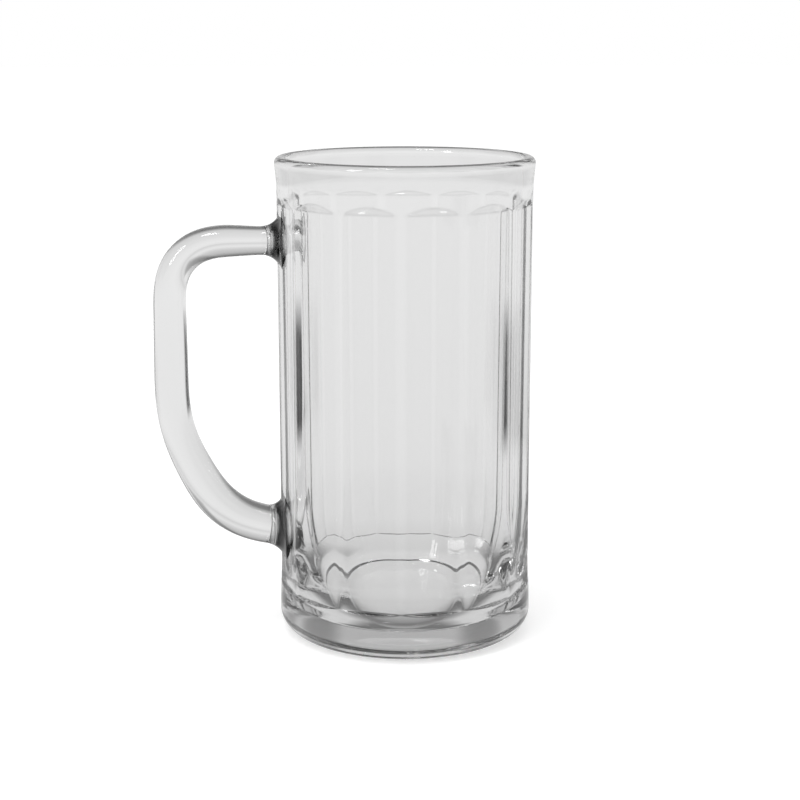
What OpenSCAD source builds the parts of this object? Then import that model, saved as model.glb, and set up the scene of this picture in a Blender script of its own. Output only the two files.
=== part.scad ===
// Pressed-glass beer mug: a round body with flat arched panels and a fused loop handle.
// The origin is on the mug's axis at the middle of the foot, +Z is up, and the handle points along -X.

/* [Overall] */
// Height from the foot to the top of the lip
mug_h = 150; // [125:1:180]
// Outside diameter across the lip
rim_d = 80; // [66:1:96]

/* [Lip and wall] */
// Thickness of the rounded lip, which is also the wall at the top
lip_t = 4; // [3:0.1:5]
// How far the lip stands out from the plain wall
bead_out = 0.6; // [0.2:0.1:1.2]
// Height from the top of the lip down to where the wall is plain
bead_h = 8.5; // [6:0.5:11]
// How much smaller in radius the bowl is at the bottom of its straight part than at the lip
bowl_draft = 0.6; // [0:0.1:1.5]
// Height at which the bowl's wall starts to round in towards its floor
bowl_bend_z = 45; // [35:1:70]

/* [Foot and base] */
// Thickness of the glass under the bowl
base_t = 7; // [5:0.5:14]
// Radius of the flat middle of the bowl's floor
floor_r = 24; // [18:0.5:26]
// Radius of the corner between the bowl's floor and its wall
floor_fillet = 3; // [1:0.5:5]
// Height of the foot's thick ring, up to the ledge under the panels
foot_h = 16; // [13:0.5:24]
// How far the foot stands out from the plain wall
foot_out = 0.55; // [0.2:0.05:1.2]
// Height over which the foot's flare runs out into the wall, above the ledge
foot_blend = 6; // [2:0.5:12]
// Radius of the rounded heel at the bottom edge
heel_r = 7; // [3:0.5:10]

/* [Panels] */
// Number of flat panels around the body
panel_n = 13; // [9:1:16]
// Width of the plain round strip left between two panels
strip_w = 2.6; // [1.5:0.1:4]
// Distance from the top of the lip down to the top of each panel's arch
arch_drop = 12; // [11:0.5:25]
// Height of the arch at the top of each panel
arch_rise = 2.3; // [1:0.1:4]
// How steeply the ledge at the foot of each panel falls outwards
ledge_slope = 0.6; // [0.2:0.1:1.5]

/* [Handle] */
// Distance from the mug's axis to the outside of the grip
handle_reach = 78; // [68:0.5:94]
// Distance from the top of the lip down to the middle of the upper arm
handle_drop = 25.6; // [22:0.2:34]
// Height of the middle of the lower arm where it meets the body
handle_low = 34; // [28:0.5:42]
// Diameter of the upper arm at the body
arm_d = 8.9; // [7:0.1:12]
// Diameter of the rod round the upper bend
bend_d = 10; // [8:0.1:12]
// Diameter of the rod at the lower end of the grip
grip_d = 10.6; // [8:0.1:13]
// Diameter of the lower arm
low_arm_d = 12.2; // [9:0.1:14]
// Radius of the upper bend, to the middle of the rod
bend_r = 14.5; // [10:0.5:20]
// Radius of the first part of the lower bend, to the middle of the rod
sweep_r = 50; // [35:1:65]
// Angle that the first part of the lower bend turns through
sweep_a = 28; // [20:1:36]
// Length of the straight taper between the grip and the lower arm
taper_l = 8; // [4:0.5:12]
// Radius of the flare where each arm meets the body
flare_r = 6; // [3:0.5:8]
// Depth of the flare's edge below the strip that the handle stands on
flare_sink = 1.2; // [0.5:0.1:2.5]

/* [Hidden] */
$fn = 96;
glass = [0.86, 0.89, 0.9];
clear = 1;

// Lip and wall: the lip is a full round on top of a straight wall
rim_r = rim_d / 2;
lip_r = lip_t / 2;
lip_z = mug_h - lip_r;
wall_r = rim_r - bead_out;
bead_z = mug_h - bead_h;
bowl_top_r = rim_r - lip_t;
bowl_bend_r = bowl_top_r - bowl_draft;

// Bowl: below the bend its wall follows an arc that touches the wall above and the floor's corner
fillet_z = base_t + floor_fillet;
bend_gap = [bowl_bend_r - floor_r, bowl_bend_z - fillet_z];
bowl_round_r = (bend_gap * bend_gap - floor_fillet * floor_fillet) / (2 * (bend_gap.x - floor_fillet));
bowl_lean = asin(bend_gap.y / (bowl_round_r - floor_fillet));
bowl_steps = 8;

// Foot: a slight cone from the plain wall down to a rounded heel
foot_r = wall_r + foot_out;
foot_flat_r = foot_r - heel_r;
foot_top_z = foot_h + foot_blend;

// Panels: flats cut into the round wall, so that a strip of it is left between them
panel_step = 360 / panel_n;
strip_half_a = asin(strip_w / 2 / wall_r);
panel_half_a = panel_step / 2 - strip_half_a;
panel_r = wall_r * cos(panel_half_a);
panel_deep = wall_r - panel_r;
arch_top_z = mug_h - arch_drop;
flat_top_z = arch_top_z - arch_rise;
cut_deep = panel_deep + foot_out + clear;
cut_w = 2 * wall_r * sin(panel_step / 2);
handle_a = 180;

// Handle: a round rod that follows tangent arcs in the XZ plane, with a short level run at its lower end
upper_z = mug_h - handle_drop;
grip_x = handle_reach - grip_d / 2;
root_x = wall_r - flare_sink;
bend_x = grip_x - bend_r;
low_run = 2;
low_x = root_x + low_run;
low_r = (grip_x - sweep_r * (1 - cos(sweep_a)) - taper_l * sin(sweep_a) - low_x) / cos(sweep_a);
taper_x = low_x + low_r * cos(sweep_a);
taper_z = handle_low + low_r * (1 - sin(sweep_a));
sweep_z = taper_z + taper_l * cos(sweep_a) + sweep_r * sin(sweep_a);
root_deep = 4;
// Straight stretches run this far into the bends, and are this much thinner, so that the rod is one solid
lap = 0.5;
lap_thin = 0.02;

// Half-section of the solid outside shape, with no bowl
module outside_section() {
    polygon([
        [0, 0],
        [foot_flat_r, 0],
        [foot_r, heel_r],
        [wall_r, foot_top_z],
        [wall_r, bead_z],
        [rim_r, lip_z],
        [0, lip_z]
    ]);
    translate([foot_flat_r, heel_r]) circle(r = heel_r);
    translate([rim_r - lip_r, lip_z]) circle(r = lip_r);
}

// Half-section of the bowl, open at the top
module bowl_section() {
    arc = [for (i = [bowl_steps : -1 : 0]) let (a = bowl_lean * i / bowl_steps)
        [bowl_bend_r - bowl_round_r * (1 - cos(a)), bowl_bend_z - bowl_round_r * sin(a)]];
    top = [[bowl_top_r, lip_z], [bowl_top_r, mug_h + clear], [0, mug_h + clear]];
    polygon(concat([[0, base_t], [floor_r, base_t]], arc, top));
    translate([floor_r, fillet_z]) circle(r = floor_fillet);
}

// What is cut away to leave one panel: a flat with a sloped top, which meets the round wall in an arch
module panel_cut() {
    rotate([90, 0, 0])
        linear_extrude(height = cut_w, center = true)
            polygon([
                [panel_r, foot_h],
                [panel_r, flat_top_z],
                [panel_r + cut_deep, flat_top_z + cut_deep * arch_rise / panel_deep],
                [panel_r + cut_deep, foot_h - cut_deep * ledge_slope]
            ]);
}

// The body's outside as a solid: the handle stands on a strip, so the panels start half a step from it
module outside() {
    difference() {
        rotate_extrude() outside_section();
        for (i = [0 : panel_n - 1])
            rotate([0, 0, handle_a + (i + 0.5) * panel_step]) panel_cut();
    }
}

// A stretch of bent rod in the XZ plane, round the point x, z, from angle a over the turn
module rod_bend(x, z, radius, d, a, turn) {
    translate([x, 0, z])
        rotate([90, 0, 0])
            rotate([0, 0, a])
                rotate_extrude(angle = turn) translate([radius, 0]) circle(d = d);
}

// A straight stretch of rod from the point x, z, leaning over from +Z towards +X by the angle a
module rod_straight(x, z, a, d1, d2, length) {
    translate([x, 0, z])
        rotate([0, a, 0])
            translate([0, 0, -lap])
                cylinder(d1 = d1 - lap_thin, d2 = d2 - lap_thin, h = length + 2 * lap);
}

// The flared end of an arm, opening towards the body along -X
module flare(z, d) {
    flare_edge = d / 2 + flare_r;
    translate([root_x, 0, z])
        rotate([0, 90, 0])
            rotate_extrude()
                difference() {
                    translate([0, -root_deep]) square([flare_edge, root_deep + flare_r]);
                    translate([flare_edge, flare_r]) circle(r = flare_r);
                }
}

// The whole handle, pointing along +X, with its ends running on into the body
module rod() {
    flare(upper_z, arm_d);
    rod_straight(root_x, upper_z, 90, arm_d, bend_d, bend_x - root_x);
    rod_bend(bend_x, upper_z - bend_r, bend_r, bend_d, 0, 90);
    rod_straight(grip_x, sweep_z, 0, grip_d, bend_d, upper_z - bend_r - sweep_z);
    rod_bend(grip_x - sweep_r, sweep_z, sweep_r, grip_d, -sweep_a, sweep_a);
    rod_straight(taper_x, taper_z, sweep_a, low_arm_d, grip_d, taper_l);
    rod_bend(low_x, handle_low + low_r, low_r, low_arm_d, -90, 90 - sweep_a);
    flare(handle_low, low_arm_d);
}

// Body: the outside less the bowl
module mug_body() {
    color(glass)
        difference() {
            outside();
            rotate_extrude() bowl_section();
        }
}

// Handle: the rod, cut back to the body's outside so that the two meet face to face
module handle() {
    color(glass)
        difference() {
            rotate([0, 0, handle_a]) rod();
            outside();
        }
}

mug_body();
handle();
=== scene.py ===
# %% [markdown]
# # A faceted glass beer mug
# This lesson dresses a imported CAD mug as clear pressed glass. Glass shows every flaw of a mesh, because
# light bends at each face, so both pieces are modelled again here at the CAD sizes, with finer meshes
# and edges as soft as fire polishing leaves them.

import math

import bmesh
import bpy
from mathutils import Matrix, Vector


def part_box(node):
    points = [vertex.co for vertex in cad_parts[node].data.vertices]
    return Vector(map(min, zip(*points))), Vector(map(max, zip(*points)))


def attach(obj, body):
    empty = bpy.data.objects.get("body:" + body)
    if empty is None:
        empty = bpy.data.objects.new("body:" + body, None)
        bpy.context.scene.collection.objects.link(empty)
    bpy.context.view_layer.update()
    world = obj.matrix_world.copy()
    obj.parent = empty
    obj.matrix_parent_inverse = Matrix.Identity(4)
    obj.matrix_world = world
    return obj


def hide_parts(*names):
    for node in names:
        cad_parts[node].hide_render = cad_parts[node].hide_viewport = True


MM = 0.001
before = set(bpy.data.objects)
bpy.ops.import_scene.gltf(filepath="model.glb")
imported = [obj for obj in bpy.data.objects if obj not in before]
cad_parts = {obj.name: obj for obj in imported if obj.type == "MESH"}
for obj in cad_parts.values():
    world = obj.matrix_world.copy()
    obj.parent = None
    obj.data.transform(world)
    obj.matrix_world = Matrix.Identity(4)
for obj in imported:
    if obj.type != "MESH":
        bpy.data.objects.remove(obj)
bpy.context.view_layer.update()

# %% [markdown]
# ## Driving sizes
# The overall sizes come from the CAD frame. The rest are the sizes that the mug was designed with: a lip
# that is a full round, a foot that flares a little, and flats cut into a round wall so that a narrow strip
# of that wall is left between each two. The bowl's wall is straight, with a slight draft, down to a bend,
# and rounds in from there to the floor.

# %% Sizes of the body
_, body_high = (Vector(corner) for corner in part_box("mug_body"))
MUG_H = body_high.z
RIM_R = body_high.x
LIP_R = 2.0 * MM
BEAD_OUT = 0.6 * MM
BEAD_H = 8.5 * MM
FOOT_H = 16.0 * MM
FOOT_OUT = 0.55 * MM
FOOT_BLEND = 6.0 * MM
HEEL_R = 7.0 * MM
LIP_Z = MUG_H - LIP_R
BEAD_Z = MUG_H - BEAD_H
WALL_R = RIM_R - BEAD_OUT
FOOT_R = WALL_R + FOOT_OUT
FOOT_TOP_Z = FOOT_H + FOOT_BLEND
print("mug", round(MUG_H / MM, 1), "mm tall,", round(2 * RIM_R / MM, 1), "mm across the lip")

# %% Sizes of the bowl
BOWL_DRAFT = 0.6 * MM
BOWL_BEND_Z = 45.0 * MM
BASE_T = 7.0 * MM
FLOOR_R = 24.0 * MM
FLOOR_FILLET = 3.0 * MM
BOWL_TOP_R = RIM_R - 2 * LIP_R
BOWL_BEND_R = BOWL_TOP_R - BOWL_DRAFT
FILLET_Z = BASE_T + FLOOR_FILLET
bend_x = BOWL_BEND_R - FLOOR_R
bend_z = BOWL_BEND_Z - FILLET_Z
BOWL_ROUND_R = (bend_x ** 2 + bend_z ** 2 - FLOOR_FILLET ** 2) / (2 * (bend_x - FLOOR_FILLET))
BOWL_LEAN = math.asin(bend_z / (BOWL_ROUND_R - FLOOR_FILLET))
print("bowl wall rounds in on a radius of", round(BOWL_ROUND_R / MM, 1), "mm")

# %% Sizes of the panels
PANEL_N = 13
PANEL_STEP = 2 * math.pi / PANEL_N
STRIP_W = 2.6 * MM
ARCH_DROP = 12.0 * MM
ARCH_RISE = 2.3 * MM
LEDGE_SLOPE = 0.6
PANEL_R = WALL_R * math.cos(PANEL_STEP / 2 - math.asin(STRIP_W / 2 / WALL_R))
PANEL_DEEP = WALL_R - PANEL_R
ARCH_TOP_Z = MUG_H - ARCH_DROP
FLAT_TOP_Z = ARCH_TOP_Z - ARCH_RISE
HANDLE_A = math.pi
print("panels", PANEL_N, "each", round(PANEL_DEEP / MM, 2), "mm deep in the middle")

# %% [markdown]
# ## A pen for half-sections
# A turned shape starts as the outline of half its section. The spin operator draws both the straight and
# the round stretches of that outline from a single vertex: with a step and no angle it draws a line, and
# with an angle it draws an arc. That keeps the rings of the finished mesh where they are needed.

# %% Pen helpers
def pen_line(bm, vert, x, z, steps):
    step = (Vector((x, 0, z)) - vert.co) / steps
    made = bmesh.ops.spin(bm, geom=[vert], cent=(0, 0, 0), axis=(0, 1, 0), dvec=step, angle=0, steps=steps)
    return [g for g in made["geom_last"] if isinstance(g, bmesh.types.BMVert)][0]


def pen_arc(bm, vert, centre_x, centre_z, angle, steps):
    centre = (centre_x, 0, centre_z)
    made = bmesh.ops.spin(bm, geom=[vert], cent=centre, axis=(0, 1, 0), angle=angle, steps=steps)
    return [g for g in made["geom_last"] if isinstance(g, bmesh.types.BMVert)][0]


# %% [markdown]
# ## Soft edges
# A mould presses the flats into hot glass, and a flame then softens each edge. A bevel could soften them
# here, but it would have to follow every arch. A smooth minimum of two surfaces is simpler: it follows the
# lower surface, and where the two are less than a set distance apart, it blends them.

# %% Panel surface
EDGE_SOFT = 0.22 * MM


def smooth_min(a, b, soft):
    h = max(0.0, min(1.0, 0.5 + 0.5 * (b - a) / soft))
    return b + (a - b) * h - soft * h * (1 - h)


def smooth_max(a, b, soft):
    return -smooth_min(-a, -b, soft)


def pressed_radius(round_r, angle, z):
    from_middle = (angle - HANDLE_A) % PANEL_STEP - PANEL_STEP / 2
    arch_out = (z - FLAT_TOP_Z) * PANEL_DEEP / ARCH_RISE
    ledge_out = (FOOT_H - z) / LEDGE_SLOPE
    flat_r = PANEL_R + smooth_max(smooth_max(arch_out, ledge_out, EDGE_SOFT), 0.0, EDGE_SOFT)
    return smooth_min(round_r, flat_r / math.cos(from_middle), EDGE_SOFT)


print("surfaces blend where they are within", round(EDGE_SOFT / MM, 2), "mm of each other")

# %% [markdown]
# ## The body
# The body is one pressing. Its half-section runs from the middle of the foot, round the heel, up the
# outside, over the lip, down the straight wall of the bowl and round its lower part to the floor. Spinning
# it gives a plain tumbler, and the outside vertices are then pressed in to the flats. Rings are close
# together at the ledge and the arches, where the surface turns, and far apart on the straight wall.

# %% Body section
LEDGE_NEAR = 1.4 * MM
ARCH_BELOW = 1.1 * MM
ARCH_ABOVE = 1.0 * MM


def body_section(bm):
    v = bm.verts.new((0, 0, 0))
    v = pen_line(bm, v, FOOT_R - HEEL_R, 0, 4)
    v = pen_arc(bm, v, FOOT_R - HEEL_R, HEEL_R, -math.pi / 2, 14)
    cone = FOOT_OUT / (FOOT_TOP_Z - HEEL_R)
    for z, steps in ((FOOT_H - LEDGE_NEAR, 5), (FOOT_H + LEDGE_NEAR, 16), (FOOT_TOP_Z, 5)):
        v = pen_line(bm, v, FOOT_R - cone * (z - HEEL_R), z, steps)
    for z, steps in ((FLAT_TOP_Z - ARCH_BELOW, 8), (ARCH_TOP_Z + ARCH_ABOVE, 20), (BEAD_Z, 3)):
        v = pen_line(bm, v, WALL_R, z, steps)
    v = pen_line(bm, v, RIM_R, LIP_Z, 5)
    v = pen_arc(bm, v, RIM_R - LIP_R, LIP_Z, -math.pi, 24)
    v = pen_line(bm, v, BOWL_BEND_R, BOWL_BEND_Z, 8)
    v = pen_arc(bm, v, BOWL_BEND_R - BOWL_ROUND_R, BOWL_BEND_Z, BOWL_LEAN, 16)
    v = pen_arc(bm, v, FLOOR_R, FILLET_Z, math.pi / 2 - BOWL_LEAN, 12)
    pen_line(bm, v, 0, BASE_T, 6)


# %% Body mesh
SIDES_PER_PANEL = 36
PRESS_FROM_Z = 10.0 * MM
PRESS_FULL = 0.15 * MM
MERGE_NEAR = 0.001 * MM


def press_panels(bm):
    pressed = bm.verts.layers.float.new("pressed")
    for v in bm.verts:
        round_r = math.hypot(v.co.x, v.co.y)
        if round_r > BOWL_TOP_R + LIP_R / 2 and PRESS_FROM_Z < v.co.z < BEAD_Z:
            angle = math.atan2(v.co.y, v.co.x)
            r = pressed_radius(round_r, angle, v.co.z)
            v[pressed] = min(1.0, (round_r - r) / PRESS_FULL)
            v.co.x = r * math.cos(angle)
            v.co.y = r * math.sin(angle)


def body_mesh():
    bm = bmesh.new()
    body_section(bm)
    bmesh.ops.spin(bm, geom=bm.verts[:] + bm.edges[:], cent=(0, 0, 0), axis=(0, 0, 1),
                   angle=2 * math.pi, steps=PANEL_N * SIDES_PER_PANEL, use_merge=True)
    bmesh.ops.remove_doubles(bm, verts=bm.verts, dist=MERGE_NEAR)
    press_panels(bm)
    bmesh.ops.recalc_face_normals(bm, faces=bm.faces)
    return bm


def finish_piece(bm, name):
    mesh = bpy.data.meshes.new(name)
    for face in bm.faces:
        face.smooth = True
    bm.to_mesh(mesh)
    triangles = sum(len(face.verts) - 2 for face in bm.faces)
    open_edges = sum(1 for edge in bm.edges if not edge.is_manifold)
    print(name, triangles, "triangles,", open_edges, "open edges, volume",
          round(bm.calc_volume(signed=True) / MM ** 3), "mm3")
    bm.free()
    piece = bpy.data.objects.new(name, mesh)
    bpy.context.scene.collection.objects.link(piece)
    return piece


body = finish_piece(body_mesh(), "body_glass_shell")
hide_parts("mug_body")
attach(body, "root")

# %% [markdown]
# ## The handle
# The handle is a rod of glass that thickens towards its lower end and flares where it was fused to the
# body. A curve with a bevel could draw the rod, but it couldn't end the flares on the faceted wall. So the
# rod is swept: a ring of edges is extruded from station to station, and each station has its own middle,
# lean and radius.

# %% Sizes of the handle
handle_near, _ = (Vector(corner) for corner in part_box("handle"))
HANDLE_REACH = -handle_near.x
HANDLE_DROP = 25.6 * MM
ARM_R = 4.45 * MM
BEND_TUBE_R = 5.0 * MM
GRIP_TUBE_R = 5.3 * MM
LOW_TUBE_R = 6.1 * MM
BEND_R = 14.5 * MM
SWEEP_R = 50.0 * MM
SWEEP_A = math.radians(28)
TAPER_L = 8.0 * MM
FLARE_R = 6.0 * MM
FLARE_SINK = 1.2 * MM
LOW_RUN = 2.0 * MM
LOWER_Z = 34.0 * MM
UPPER_Z = MUG_H - HANDLE_DROP
GRIP_X = HANDLE_REACH - GRIP_TUBE_R
ROOT_X = WALL_R - FLARE_SINK
LOW_X = ROOT_X + LOW_RUN
sweep_in = SWEEP_R * (1 - math.cos(SWEEP_A)) + TAPER_L * math.sin(SWEEP_A)
LOW_R = (GRIP_X - sweep_in - LOW_X) / math.cos(SWEEP_A)
print("handle reaches", round(HANDLE_REACH / MM, 1), "mm from the axis")

# %% [markdown]
# ## Even bends
# In the CAD the rod is made of straight stretches and arcs. A rod of hot glass bends evenly instead, with no
# place where a straight stretch stops. Here the lean of the rod's path is averaged over a short length on
# both sides of each station, and the radius eases from one size to the next. Averaging swings the grip
# outwards a little, so the first stretch is shortened to keep the handle inside the CAD box.

# %% Bends of the rod
def rod_bends():
    low_turn = math.pi / 2 - SWEEP_A - math.asin((ROOT_X + FLARE_R - LOW_X) / LOW_R)
    taper_z = LOWER_Z + LOW_R * (1 - math.sin(SWEEP_A))
    sweep_z = taper_z + TAPER_L * math.cos(SWEEP_A) + SWEEP_R * math.sin(SWEEP_A)
    return [
        (GRIP_X - BEND_R - ROOT_X - FLARE_R, 0.0),
        (BEND_R * math.pi / 2, math.pi / 2),
        (UPPER_Z - BEND_R - sweep_z, 0.0),
        (SWEEP_R * SWEEP_A, SWEEP_A),
        (TAPER_L, 0.0),
        (LOW_R * low_turn, low_turn),
    ]


def lean_at(bends, s):
    lean = 0.0
    for length, turn in bends:
        lean += turn * max(0.0, min(1.0, s / length))
        s -= length
    return lean


bends = rod_bends()
print("rod is", round(sum(length for length, turn in bends) / MM, 1), "mm long between its flares")

# %% Thickness and middle of the rod
ROD_STEPS = 90
BLUR_STEPS = 4
THICKEN_FROM = 0.4
THICKEN_TO = 0.5


def ease(value, low, high):
    t = max(0.0, min(1.0, (value - low) / (high - low)))
    return t * t * (3 - 2 * t)


def tube_r(bends, s):
    arm, bend, grip, sweep, taper, low = (length for length, turn in bends)
    bend_to = arm + bend
    grip_to = bend_to + grip
    thick_from = grip_to + THICKEN_FROM * sweep
    thick_to = grip_to + sweep + taper + THICKEN_TO * low
    r = ARM_R + (BEND_TUBE_R - ARM_R) * ease(s, 0.0, arm)
    r += (GRIP_TUBE_R - BEND_TUBE_R) * ease(s, bend_to, grip_to)
    return r + (LOW_TUBE_R - GRIP_TUBE_R) * ease(s, thick_from, thick_to)


def rod_middle(bends, blur):
    x, z = ROOT_X + FLARE_R, UPPER_Z
    middle = [(x, z, 0.0, ARM_R)]
    step = sum(length for length, turn in bends) / ROD_STEPS
    for i in range(ROD_STEPS):
        spread = [lean_at(bends, (i + 0.5) * step + blur * k / BLUR_STEPS)
                  for k in range(-BLUR_STEPS, BLUR_STEPS + 1)]
        lean = sum(spread) / len(spread)
        x += step * math.cos(lean)
        z -= step * math.sin(lean)
        s = (i + 1) * step
        middle.append((x, z, lean_at(bends, s), tube_r(bends, s)))
    return middle


# %% Stations along the rod
FLARE_STEPS = 12
BEND_BLUR = 6.0 * MM
BEND_SWING = 0.7 * MM


def flare_station(low_end, u):
    along = FLARE_R * (1 - math.sin(u))
    out = FLARE_R * (1 - math.cos(u))
    if low_end is None:
        return ROOT_X + along, UPPER_Z, 0.0, ARM_R + out
    end_z, end_a = low_end
    t = math.sin(u)
    z = end_z + (LOWER_Z - end_z) * math.sin(t * math.pi / 2)
    return ROOT_X + along, z, end_a + (math.pi - end_a) * t, LOW_TUBE_R + out


def rod_stations():
    turns = [math.pi / 2 * i / FLARE_STEPS for i in range(FLARE_STEPS + 1)]
    stations = [flare_station(None, u) for u in reversed(turns)]
    end_x, end_z, _, _ = rod_middle(bends, 0.0)[-1]
    arm, level = bends[0]
    middle = rod_middle([(arm - BEND_SWING, level)] + bends[1:], BEND_BLUR)
    off_x = end_x - middle[-1][0]
    off_z = end_z - middle[-1][1]
    for i in range(1, ROD_STEPS + 1):
        x, z, lean, r = middle[i]
        t = i / ROD_STEPS
        stations.append((x + off_x * t, z + off_z * t, lean, r))
    low_end = stations[-1][1:3]
    stations += [flare_station(low_end, u) for u in turns[1:]]
    return stations, low_end


stations, low_end = rod_stations()
print("rod has", len(stations), "stations")

# %% [markdown]
# ## Seating the flares
# Each flare has to end where it meets the wall, and the wall there is a strip with a flat on each side. So
# each line of vertices along the flare looks for its own meeting point, by halving, and shares its rings out
# between there and the arm. The last ring is closed on the body's own surface, sunk by a hair, so that no
# gap of air shows between the two pieces of glass.

# %% Flares on the wall
FUSE_SINK = 0.04 * MM
WALL_TRIES = 4
HALVINGS = 20


def station_matrix(x, z, lean, radius):
    turn = Matrix.Rotation(lean, 4, "Y") @ Matrix.Rotation(math.pi / 2, 4, "Y")
    return Matrix.Translation((x, 0, z)) @ turn @ Matrix.Scale(radius, 4)


def wall_x(y, z):
    x = WALL_R
    for _ in range(WALL_TRIES):
        r = pressed_radius(WALL_R, math.atan2(y, -x), z)
        x = math.sqrt(max(r * r - y * y, 0.0))
    return x - FUSE_SINK


def wall_turn(unit, low_end):
    low, high = 0.0, math.pi / 2
    for _ in range(HALVINGS):
        u = (low + high) / 2
        point = station_matrix(*flare_station(low_end, u)) @ unit
        if point.x > wall_x(point.y, point.z):
            low = u
        else:
            high = u
    return high


def seat_flare(placed_rings, low_end):
    for i, (ring, placed) in enumerate(placed_rings):
        back = placed.inverted()
        for v in ring:
            unit = back @ v.co
            u = wall_turn(unit, low_end) * i / FLARE_STEPS
            v.co = station_matrix(*flare_station(low_end, u)) @ unit


print("handle stands on the wall", round(wall_x(0, UPPER_Z) / MM, 2), "mm from the axis")

# %% Rings and caps
CAP_RINGS = 8


def extrude_ring(bm, ring):
    edges = {e for v in ring for e in v.link_edges if e.verts[0] in ring and e.verts[1] in ring}
    made = bmesh.ops.extrude_edge_only(bm, edges=list(edges))
    return [g for g in made["geom"] if isinstance(g, bmesh.types.BMVert)]


def sit_on_wall(ring):
    for v in ring:
        v.co.x = wall_x(v.co.y, v.co.z)


def close_on_wall(bm, ring):
    middle = sum((v.co for v in ring), Vector()) / len(ring)
    sit_on_wall(ring)
    for i in range(1, CAP_RINGS):
        ring = extrude_ring(bm, set(ring))
        shrink = 1 - 1 / (CAP_RINGS - i + 1)
        bmesh.ops.scale(bm, vec=(1, shrink, shrink), space=Matrix.Translation(-middle), verts=ring)
        sit_on_wall(ring)
    edges = [e for e in bm.edges if e.verts[0] in ring and e.verts[1] in ring]
    fan = bmesh.ops.extrude_edge_only(bm, edges=edges)
    tip = [g for g in fan["geom"] if isinstance(g, bmesh.types.BMVert)]
    bmesh.ops.pointmerge(bm, verts=tip, merge_co=(wall_x(0, middle.z), 0, middle.z))


# %% [markdown]
# ## Marking the fused ends for their painted shade
# The rims of the flares, where the rod was fused to the body, look darker than the rest. That darkness is
# painted shade on the glass, so the glass has to know where they are: every vertex of the handle gets a
# number, one on the rim of a flare, and zero along the arm and a few millimetres from the wall. A material
# can read such a number as an attribute.

# %% Fused ends
FUSED_REACH = 3.2 * MM
FUSED_FADE = 0.6 * FUSED_REACH
FUSED_FROM = 0.03 * FLARE_R
FUSED_FULL = 0.12 * FLARE_R


# the number says where painted shade goes on the rims of the flares
def mark_fused_shade(bm):
    fused = bm.verts.layers.float.new("fused")
    for v in bm.verts:
        reach = math.hypot(v.co.x, v.co.y) - WALL_R
        upper = v.co.z > (UPPER_Z + LOWER_Z) / 2
        arm_z, arm_r = (UPPER_Z, ARM_R) if upper else (LOWER_Z, LOW_TUBE_R)
        off_arm = math.hypot(v.co.y, v.co.z - arm_z) - arm_r
        on_rim = ease(off_arm, FUSED_FROM, FUSED_FULL)
        v[fused] = on_rim * (1 - ease(reach, FUSED_FADE, FUSED_REACH))


print("fused ends fade out", round(FUSED_REACH / MM, 1), "mm from the wall")

# %% [markdown]
# ## Sweeping the rod
# The first ring is a circle at the wall end of the upper flare. It is extruded and moved to each station in
# turn. Then both flares are seated, both ends are closed on the wall, and the whole is mirrored to point
# along -X, as the handle does.

# %% Handle mesh
ROD_SIDES = 56


def handle_mesh():
    bm = bmesh.new()
    first = station_matrix(*stations[0])
    made = bmesh.ops.create_circle(bm, cap_ends=False, radius=1, segments=ROD_SIDES, matrix=first)
    ring = made["verts"]
    rings = [(ring, first)]
    for station in stations[1:]:
        ring = extrude_ring(bm, set(ring))
        placed = station_matrix(*station)
        bmesh.ops.transform(bm, matrix=placed @ rings[-1][1].inverted(), verts=ring)
        rings.append((ring, placed))
    seat_flare(rings[FLARE_STEPS::-1], None)
    seat_flare(rings[-FLARE_STEPS - 1:], low_end)
    close_on_wall(bm, rings[-1][0])
    close_on_wall(bm, rings[0][0])
    bmesh.ops.scale(bm, vec=(-1, 1, 1), verts=bm.verts)
    bmesh.ops.recalc_face_normals(bm, faces=bm.faces)
    mark_fused_shade(bm)
    return bm


handle = finish_piece(handle_mesh(), "handle_glass_rod")
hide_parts("handle")
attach(handle, "root")

# %% [markdown]
# ## The glass
# Soda-lime glass bends light with an index of about 1.5. A few millimetres of it look clear, but the iron
# in it takes light away along a longer path. In the picture the flats look a little duller than the strips
# between them, so they get a painted shade: a slightly darker tint. The fused ends of the handle look dark
# from the side. The light of this scene doesn't do that by itself, so a painted shade, a dark tint, is laid
# on them where they are seen edge on.
# Pressed glass is never quite flat either: a stretched noise makes the view through the wall swim a little,
# and a finer one gives the slight haze of a used glass.

# %% Node helpers
def wire_math(nodes, links, kind, a, b=None):
    node = nodes.new("ShaderNodeMath")
    node.operation = kind
    for socket, value in zip(node.inputs, (a, b)):
        if value is None:
            continue
        if isinstance(value, (int, float)):
            socket.default_value = value
        else:
            links.new(value, socket)
    return node.outputs[0]


def wire_ramp(nodes, links, value, low, high, to_low, to_high):
    node = nodes.new("ShaderNodeMapRange")
    node.interpolation_type = "SMOOTHSTEP"
    for name, number in (("From Min", low), ("From Max", high), ("To Min", to_low), ("To Max", to_high)):
        node.inputs[name].default_value = number
    links.new(value, node.inputs["Value"])
    return node.outputs["Result"]


def wire_span(nodes, links, value, to_low, to_high):
    node = nodes.new("ShaderNodeMapRange")
    node.inputs["To Min"].default_value = to_low
    node.inputs["To Max"].default_value = to_high
    links.new(value, node.inputs["Value"])
    return node.outputs["Result"]


def wire_noise(nodes, links, place, scale, detail):
    node = nodes.new("ShaderNodeTexNoise")
    node.inputs["Scale"].default_value = scale
    node.inputs["Detail"].default_value = detail
    links.new(place, node.inputs["Vector"])
    return node.outputs["Fac"]


def wire_mark(nodes, name):
    node = nodes.new("ShaderNodeAttribute")
    node.attribute_name = name
    return node.outputs["Fac"]


# %% Tint of the glass, with painted shade on the flats and the fused ends
# painted shade: the flats are tinted darker than the strips between them
FLAT_PAINTED_SHADE = 0.93
STRIP_TINT = 0.99
# painted shade: the near-black tint laid on the fused ends where they are seen edge on
FUSED_PAINTED_SHADE = 0.002
EDGE_ON = (0.12, 0.30)


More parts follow.
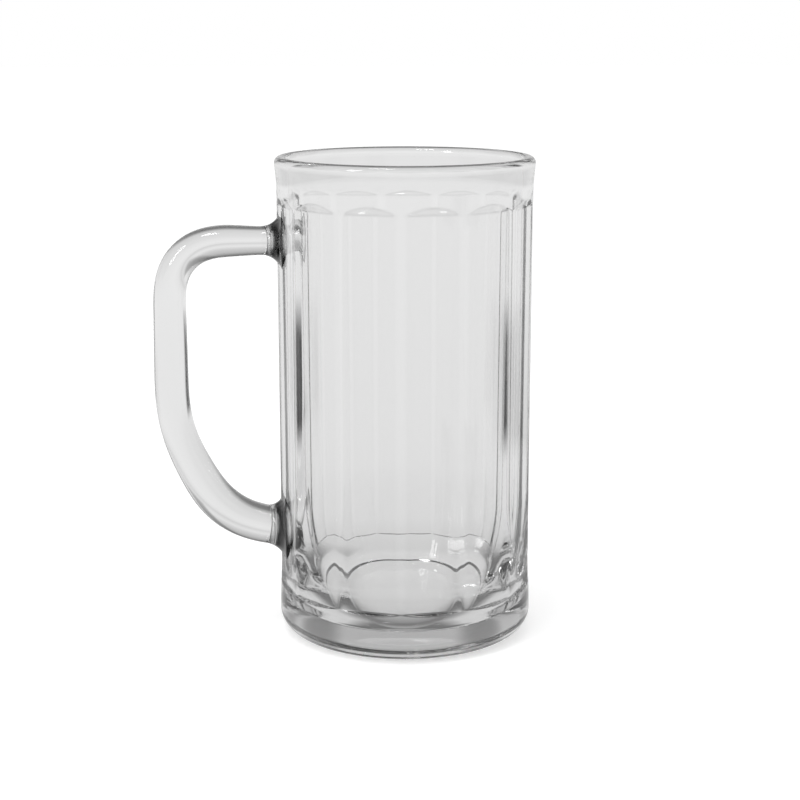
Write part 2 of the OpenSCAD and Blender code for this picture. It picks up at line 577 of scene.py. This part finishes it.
def wire_tint(nodes, links):
    plain = wire_span(nodes, links, wire_mark(nodes, "pressed"), STRIP_TINT, FLAT_PAINTED_SHADE)
    facing = nodes.new("ShaderNodeLayerWeight").outputs["Facing"]
    edge_on = wire_ramp(nodes, links, facing, *EDGE_ON, 0.0, 1.0)
    # painted shade on the fused ends, strongest where they are seen edge on
    dark = wire_math(nodes, links, "MULTIPLY", wire_mark(nodes, "fused"), edge_on)
    tint = nodes.new("ShaderNodeMix")
    tint.inputs["B"].default_value = FUSED_PAINTED_SHADE
    links.new(dark, tint.inputs["Factor"])
    links.new(plain, tint.inputs["A"])
    return tint.outputs["Result"]


print("tint of the flats", FLAT_PAINTED_SHADE, "and of the strips", STRIP_TINT)

# %% Surface of the glass
SWIM_SCALE = 90.0
SWIM_DETAIL = 1.0
SWIM_STRETCH = (1.0, 1.0, 0.25)
SWIM_DEEP = 0.02 * MM
HAZE_SCALE = 300.0
HAZE_DETAIL = 3.0
HAZE_ROUGH = 0.03


def wire_swim(nodes, links, place):
    stretch = nodes.new("ShaderNodeMapping")
    stretch.inputs["Scale"].default_value = SWIM_STRETCH
    links.new(place, stretch.inputs["Vector"])
    bump = nodes.new("ShaderNodeBump")
    bump.inputs["Strength"].default_value = 1.0
    bump.inputs["Distance"].default_value = SWIM_DEEP
    swim = wire_noise(nodes, links, stretch.outputs["Vector"], SWIM_SCALE, SWIM_DETAIL)
    links.new(swim, bump.inputs["Height"])
    return bump.outputs["Normal"]


def wire_haze(nodes, links, place):
    haze = wire_noise(nodes, links, place, HAZE_SCALE, HAZE_DETAIL)
    return wire_span(nodes, links, haze, 0.0, HAZE_ROUGH)


print("surface swims by a bump of up to", round(SWIM_DEEP / MM, 2), "mm")

# %% Glass material
GLASS_INDEX = 1.5
ABSORB_PER_M = 5.0
ABSORB_GREY = 0.5


def glass_material(name):
    mat = bpy.data.materials.new(name)
    mat.use_nodes = True
    nodes, links = mat.node_tree.nodes, mat.node_tree.links
    shader = nodes["Principled BSDF"]
    shader.inputs["Transmission Weight"].default_value = 1.0
    shader.inputs["IOR"].default_value = GLASS_INDEX
    place = nodes.new("ShaderNodeTexCoord").outputs["Object"]
    links.new(wire_tint(nodes, links), shader.inputs["Base Color"])
    links.new(wire_swim(nodes, links, place), shader.inputs["Normal"])
    links.new(wire_haze(nodes, links, place), shader.inputs["Roughness"])
    inside = nodes.new("ShaderNodeVolumeAbsorption")
    inside.inputs["Color"].default_value = (ABSORB_GREY, ABSORB_GREY, ABSORB_GREY, 1)
    inside.inputs["Density"].default_value = ABSORB_PER_M / (1 - ABSORB_GREY)
    links.new(inside.outputs["Volume"], nodes["Material Output"].inputs["Volume"])
    return mat


body.data.materials.append(glass_material("pressed_body_glass"))
handle.data.materials.append(glass_material("pressed_handle_glass"))
print("glass on", body.name, "and", handle.name)

# %% [markdown]
# ## Dark cards
# A glass is shown by what is around it. To the camera the floor and the world are white. Light that has met
# the glass sees a grey room instead, with soft dark cards in it. Photographers stand cards like these beside
# a glass, out of the picture, to draw dark edges on it. A card here is a range of directions round the mug,
# given by its middle and its half width in degrees.

# %% Dark cards
CARD_SOFT = 6


def wire_vector(nodes, links, kind, a, b=None):
    node = nodes.new("ShaderNodeVectorMath")
    node.operation = kind
    links.new(a, node.inputs[0])
    if b is not None:
        node.inputs[1].default_value = b
    return node.outputs["Value"] if kind in ("LENGTH", "DOT_PRODUCT") else node.outputs["Vector"]


def wire_cards(nodes, links, vector, cards, dark):
    level = wire_vector(nodes, links, "MULTIPLY", vector, (1, 1, 0))
    heading = wire_vector(nodes, links, "NORMALIZE", level)
    shade = None
    for middle, half in cards:
        aim = (math.sin(math.radians(middle)), math.cos(math.radians(middle)), 0)
        towards = wire_vector(nodes, links, "DOT_PRODUCT", heading, aim)
        outer = math.cos(math.radians(half + CARD_SOFT))
        inner = math.cos(math.radians(half - CARD_SOFT))
        card = wire_ramp(nodes, links, towards, outer, inner, 1.0, dark)
        shade = card if shade is None else wire_math(nodes, links, "MULTIPLY", shade, card)
    return shade


def wire_by_glass(nodes, links):
    rays = nodes.new("ShaderNodeLightPath").outputs
    bent = wire_math(nodes, links, "MAXIMUM", rays["Is Glossy Ray"], rays["Is Transmission Ray"])
    lit = wire_math(nodes, links, "GREATER_THAN", rays["Diffuse Depth"], 0.5)
    seen = wire_math(nodes, links, "MULTIPLY", bent, wire_math(nodes, links, "SUBTRACT", 1.0, lit))
    return seen, lit, rays["Is Camera Ray"]


print("cards fade out over", 2 * CARD_SOFT, "degrees")

# %% [markdown]
# ## The floor
# Through the glass the floor glows with a painted reflection, so that it looks like a polished table: pale
# when it is seen at a low angle and darker from above. Two dark cards lie on it at the sides, a little way
# from the mug, and draw the streaks at the edges of the body and inside the grip. They fade out for nearly
# level light, or they would show as patches from table height. To the camera, the floor is white and keeps
# the mug's shadow.

# %% Floor seen through the glass
# painted reflection: the floor's glow seen through the glass, set by how steeply it is seen
FLOOR_PAINTED_TONES = (
    (0.0, 0.70), (0.06, 0.82), (0.12, 0.86), (0.24, 0.83), (0.31, 0.79),
    (0.42, 0.77), (0.6, 0.70), (0.75, 0.20), (0.9, 0.15), (1.0, 0.50),
)
FLOOR_CARDS = ((-68, 15), (68, 15))
FLOOR_CARD = 0.03
CARDS_NEAR = (230 * MM, 320 * MM)
CARDS_FAR = (480 * MM, 700 * MM)
CARDS_LEVEL = (0.14, 0.20)


def wire_tones(nodes, links, value, tones):
    ramp = nodes.new("ShaderNodeValToRGB")
    marks = ramp.color_ramp.elements
    while len(marks) < len(tones):
        marks.new(0.5)
    for mark, (position, tone) in zip(marks, tones):
        mark.position = position
        mark.color = (tone, tone, tone, 1)
    links.new(value, ramp.inputs["Fac"])
    return ramp.outputs["Color"]


def wire_floor_painted_reflection(nodes, links):
    facing = nodes.new("ShaderNodeLayerWeight").outputs["Facing"]
    slope = wire_math(nodes, links, "SUBTRACT", 1.0, facing)
    place = nodes.new("ShaderNodeTexCoord").outputs["Object"]
    away = wire_vector(nodes, links, "LENGTH", place)
    bare = wire_ramp(nodes, links, slope, *CARDS_LEVEL, 1.0, 0.0)
    for ends, tones in ((CARDS_NEAR, (1.0, 0.0)), (CARDS_FAR, (0.0, 1.0))):
        bare = wire_math(nodes, links, "MAXIMUM", bare, wire_ramp(nodes, links, away, *ends, *tones))
    cards = wire_cards(nodes, links, place, FLOOR_CARDS, FLOOR_CARD)
    shade = wire_math(nodes, links, "MAXIMUM", bare, cards)
    return wire_math(nodes, links, "MULTIPLY", wire_tones(nodes, links, slope, FLOOR_PAINTED_TONES), shade)


print("floor cards lie", round(CARDS_NEAR[0] / MM), "to", round(CARDS_FAR[1] / MM), "mm from the axis")

# %% Floor
FLOOR_WHITE = 0.9
FLOOR_HALF = 6.0
FLOOR_DROP = 0.05 * MM
CAMERA_FILL = 0.40


def floor_material():
    mat = bpy.data.materials.new("white_floor")
    mat.use_nodes = True
    nodes, links = mat.node_tree.nodes, mat.node_tree.links
    shader = nodes["Principled BSDF"]
    shader.inputs["Roughness"].default_value = 1.0
    shader.inputs["Specular IOR Level"].default_value = 0.0
    shader.inputs["Emission Color"].default_value = (1, 1, 1, 1)
    seen, _, camera_ray = wire_by_glass(nodes, links)
    unseen = wire_math(nodes, links, "SUBTRACT", 1.0, seen)
    links.new(wire_math(nodes, links, "MULTIPLY", unseen, FLOOR_WHITE), shader.inputs["Base Color"])
    # painted reflection: the floor glows for light that has met the glass
    shown = wire_math(nodes, links, "MULTIPLY", seen, wire_floor_painted_reflection(nodes, links))
    fill = wire_math(nodes, links, "MULTIPLY", camera_ray, CAMERA_FILL)
    links.new(wire_math(nodes, links, "ADD", shown, fill), shader.inputs["Emission Strength"])
    return mat


def floor_plane():
    bm = bmesh.new()
    bmesh.ops.create_grid(bm, x_segments=1, y_segments=1, size=FLOOR_HALF)
    bmesh.ops.translate(bm, verts=bm.verts, vec=(0, 0, -FLOOR_DROP))
    mesh = bpy.data.meshes.new("floor")
    bm.to_mesh(mesh)
    bm.free()
    floor = bpy.data.objects.new("floor", mesh)
    bpy.context.scene.collection.objects.link(floor)
    return floor


floor = floor_plane()
floor.data.materials.append(floor_material())
print("floor", 2 * FLOOR_HALF, "m across")

# %% [markdown]
# ## The walls
# The world stands for the walls and the ceiling. Light that has met the glass sees them pale near the
# skyline and darker higher up, with narrow cards that fade out at the skyline, where the floor begins. Light
# that has met the floor sees one plain grey, and the camera sees white.

# %% World
WALL_TONES = ((0.0, 0.70), (0.06, 0.80), (0.12, 0.85), (0.26, 0.68), (0.5, 0.50), (0.85, 0.05))
WALL_CARDS = ((38, 8), (68, 9), (-22.5, 7), (-68, 9), (-112.5, 7), (112.5, 7), (157.5, 7))
WALL_CARD = 0.5
CARDS_SKYLINE = (0.02, 0.2)
ROOM_LIGHT = 0.75
world = bpy.data.worlds.new("studio")
world.use_nodes = True
bpy.context.scene.world = world


def studio_world(world):
    nodes, links = world.node_tree.nodes, world.node_tree.links
    background = nodes["Background"]
    background.inputs["Color"].default_value = (1, 1, 1, 1)
    way = nodes.new("ShaderNodeTexCoord").outputs["Generated"]
    split = nodes.new("ShaderNodeSeparateXYZ")
    links.new(way, split.inputs[0])
    walls = wire_tones(nodes, links, split.outputs["Z"], WALL_TONES)
    bare = wire_ramp(nodes, links, split.outputs["Z"], *CARDS_SKYLINE, 1.0, 0.0)
    cards = wire_cards(nodes, links, way, WALL_CARDS, WALL_CARD)
    shade = wire_math(nodes, links, "MAXIMUM", bare, cards)
    studio = wire_math(nodes, links, "MULTIPLY", shade, walls)
    seen, lit, camera_ray = wire_by_glass(nodes, links)
    shown = wire_math(nodes, links, "MULTIPLY", seen, studio)
    white = wire_math(nodes, links, "MAXIMUM", camera_ray, shown)
    room = wire_math(nodes, links, "MULTIPLY", lit, ROOM_LIGHT)
    links.new(wire_math(nodes, links, "MAXIMUM", white, room), background.inputs["Strength"])


studio_world(world)
print("walls seen through the glass from", WALL_TONES[0][1], "to", WALL_TONES[-1][1])

# %% [markdown]
# ## The lights
# Two weak softboxes, one above and one at the side, make glints on the glass. Their size sets the size of
# the glints, because a glint on glass is a picture of the lamp.

# %% Lights
def softbox(name, place, aim, width, height, power):
    lamp = bpy.data.lights.new(name, "AREA")
    lamp.shape = "RECTANGLE"
    lamp.size = width
    lamp.size_y = height
    lamp.energy = power
    box = bpy.data.objects.new(name, lamp)
    box.location = place
    box.rotation_euler = (Vector(aim) - Vector(place)).to_track_quat("-Z", "Y").to_euler()
    bpy.context.scene.collection.objects.link(box)
    print(name, power, "W,", width, "by", height, "m")


softbox("top_light", place=(-0.3, -0.4, 1.2), aim=(0, 0, 0.08), width=0.3, height=0.2, power=2)
softbox("side_light", place=(-0.9, -0.7, 0.7), aim=(0, 0, 0.1), width=0.25, height=0.6, power=3)

# %% [markdown]
# ## The camera
# The picture was taken from a little above the lip, close enough for the lip to look almost like a line
# while the foot shows a wide curve. The distance, height and lens below were worked out from those curves.

# %% Camera
CAMERA_AWAY = 545 * MM
CAMERA_UP = 192.6 * MM
CAMERA_ROUND = math.radians(5.26)
CAMERA_DOWN = math.radians(12.33)
SENSOR_WIDTH = 36
FOCAL_PX = 1772
PICTURE_PX = 800
AXIS_PX = 404.9
camera_data = bpy.data.cameras.new("camera")
camera_data.sensor_width = SENSOR_WIDTH
camera_data.lens = SENSOR_WIDTH * FOCAL_PX / PICTURE_PX
camera_data.shift_x = -(AXIS_PX - PICTURE_PX / 2) / PICTURE_PX
camera_data.clip_start = 10 * MM
camera = bpy.data.objects.new("camera", camera_data)
camera_x = -CAMERA_AWAY * math.sin(CAMERA_ROUND)
camera_y = -CAMERA_AWAY * math.cos(CAMERA_ROUND)
camera.location = (camera_x, camera_y, CAMERA_UP)
camera.rotation_euler = (math.pi / 2 - CAMERA_DOWN, 0, -CAMERA_ROUND)
bpy.context.scene.collection.objects.link(camera)
scene = bpy.context.scene
scene.camera = camera
scene.view_settings.view_transform = "Standard"
print("camera at", [round(c / MM) for c in camera.location], "mm, lens", round(camera_data.lens, 1), "mm")

# %% [markdown]
# ## Light paths
# Light passes four surfaces on its way through the body, and many more where it is reflected inside the foot
# or the handle. Each counts as a bounce, and with too few of them the thick glass turns black.

# %% Bounces
scene.cycles.max_bounces = 32
scene.cycles.transmission_bounces = 32
scene.cycles.glossy_bounces = 16
print("light may bounce", scene.cycles.max_bounces, "times")
